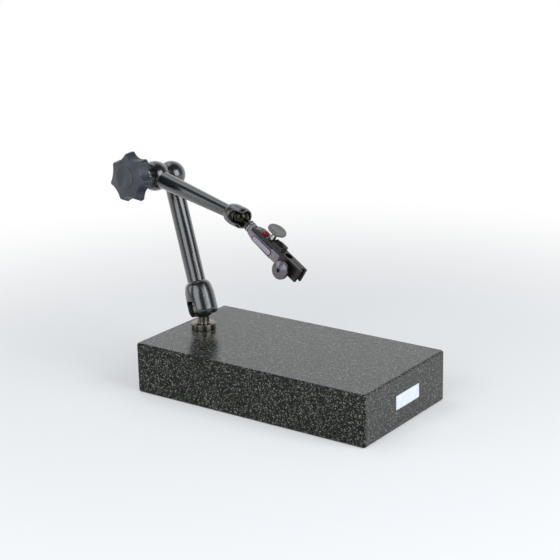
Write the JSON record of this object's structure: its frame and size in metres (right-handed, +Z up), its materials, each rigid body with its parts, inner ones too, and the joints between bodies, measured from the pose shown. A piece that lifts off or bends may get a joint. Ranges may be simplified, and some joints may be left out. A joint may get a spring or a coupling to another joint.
{
  "type": "granite indicator stand",
  "caption": "Bench stand for a dial indicator: granite block, jointed arm locked by one star knob, and a fine adjustment holder with a split stem clamp.",
  "frame": {"origin": "centre of the granite block's underside", "axes": "+X along the block's long edge towards the bare end, +Y across the block away from the knob, +Z up"},
  "size_m": [0.3095, 0.14, 0.2269],
  "materials": {
    "granite": "polished black speckled granite",
    "label": "printed adhesive label left blank",
    "steel": "turned steel",
    "chrome": "polished chrome",
    "black_gloss": "glossy black lacquer",
    "black_satin": "satin black",
    "grey_cast": "matt grey",
    "knob_plastic": "satin dark grey",
    "grey_plastic": "satin grey",
    "red_plastic": "red"
  },
  "bodies": {
    "base": {"granite_base": "granite", "base_insert": "steel", "base_label": "label"},
    "post": {"lower_ball_stud": "steel"},
    "lower_cup": {"lower_ball_cup": "steel"},
    "lower_arm": {"lower_socket": "black_gloss", "lower_tube": "black_gloss", "lower_push_rod": "steel", "rear_head": "black_gloss", "rear_cap": "black_gloss", "elbow_washer": "steel"},
    "draw_bolt": {"clamp_bolt": "steel"},
    "upper_arm": {"front_head": "black_gloss", "upper_tube": "black_gloss", "upper_socket": "black_gloss", "upper_push_rod": "steel", "knob_washer": "black_gloss"},
    "knob": {"star_knob": "knob_plastic", "knob_nut": "steel", "knob_cap": "knob_plastic"},
    "upper_cup": {"upper_ball_cup": "steel"},
    "stem": {"upper_ball_stud": "chrome", "stem_nut": "black_gloss", "stem_ring": "chrome"},
    "holder": {"holder_body": "grey_cast", "holder_plate": "grey_cast", "pivot_pin": "steel", "return_spring": "steel"},
    "lever": {"fine_lever": "black_satin", "lever_plug": "red_plastic"},
    "fine_feed": {"fine_washer": "chrome"},
    "fine_knob": {"fine_screw": "chrome", "thumb_knob": "grey_plastic"},
    "clamp_feed": {"clamp_washer": "steel"},
    "clamp_knob": {"clamp_screw": "steel", "clamp_disc": "steel"}
  },
  "joints": [
    {"name": "post_swivel", "type": "hinge", "parent": "base", "child": "post", "pos_m": [-0.102, 0, 0.0713], "axis": [0, 0, 1], "continuous": true},
    {"name": "lower_tilt", "type": "hinge", "parent": "post", "child": "lower_cup", "pos_m": [-0.102, 0, 0.0713], "axis": [-0.3813, -0.9245, 0], "range_deg": [-20, 4]},
    {"name": "lower_spin", "type": "hinge", "parent": "lower_cup", "child": "lower_arm", "pos_m": [-0.102, 0, 0.0713], "axis": [-0.3746, 0.1545, 0.9142], "continuous": true},
    {"name": "elbow", "type": "hinge", "parent": "lower_arm", "child": "upper_arm", "pos_m": [-0.15389, -0.00255, 0.19814], "axis": [-0.0552, -0.988, 0.1444], "range_deg": [-10, 110]},
    {"name": "bolt_slide", "type": "slide", "parent": "lower_arm", "child": "draw_bolt", "axis": [-0.0552, -0.988, 0.1444], "range_m": [-0.0012, 0]},
    {"name": "knob_turn", "type": "hinge", "parent": "upper_arm", "child": "knob", "pos_m": [-0.15389, -0.00255, 0.19814], "axis": [-0.0552, -0.988, 0.1444], "range_deg": [0, 360]},
    {"name": "upper_spin", "type": "hinge", "parent": "upper_arm", "child": "upper_cup", "pos_m": [-0.04301, -0.01235, 0.17353], "axis": [0.9726, -0.0859, -0.2159], "continuous": true},
    {"name": "upper_tilt", "type": "hinge", "parent": "upper_cup", "child": "stem", "pos_m": [-0.04301, -0.01235, 0.17353], "axis": [-0.0552, -0.988, 0.1444], "range_deg": [-14.5, 49]},
    {"name": "holder_swivel", "type": "hinge", "parent": "stem", "child": "holder", "pos_m": [-0.04301, -0.01235, 0.17353], "axis": [0.8624, -0.1201, -0.4918], "continuous": true},
    {"name": "fine_pivot", "type": "hinge", "parent": "holder", "child": "lever", "pos_m": [0.00433, -0.01937, 0.14356], "axis": [-0.0552, -0.988, 0.1444], "range_deg": [-2.01, 2.01]},
    {"name": "fine_slide", "type": "slide", "parent": "holder", "child": "fine_feed", "axis": [0.5032, 0.0973, 0.8587], "range_m": [-0.0005, 0.0005]},
    {"name": "fine_turn", "type": "hinge", "parent": "fine_feed", "child": "fine_knob", "pos_m": [-0.00704, -0.01736, 0.15302], "axis": [0.5032, 0.0973, 0.8587], "range_deg": [-360, 360]},
    {"name": "clamp_slide", "type": "slide", "parent": "lever", "child": "clamp_feed", "axis": [-0.0552, -0.988, 0.1444], "range_m": [0, 0.0007]},
    {"name": "clamp_turn", "type": "hinge", "parent": "clamp_feed", "child": "clamp_knob", "pos_m": [0.01663, -0.02136, 0.13471], "axis": [-0.0552, -0.988, 0.1444], "range_deg": [0, 360]}
  ],
  "couplings": [
    {"joint": "bolt_slide", "follows": "knob_turn", "m_per_rad": -0.00019099},
    {"joint": "fine_turn", "follows": "fine_slide", "rad_per_m": 12566},
    {"joint": "fine_pivot", "follows": "fine_slide", "rad_per_m": -68.027},
    {"joint": "clamp_turn", "follows": "clamp_slide", "rad_per_m": 8976}
  ]
}
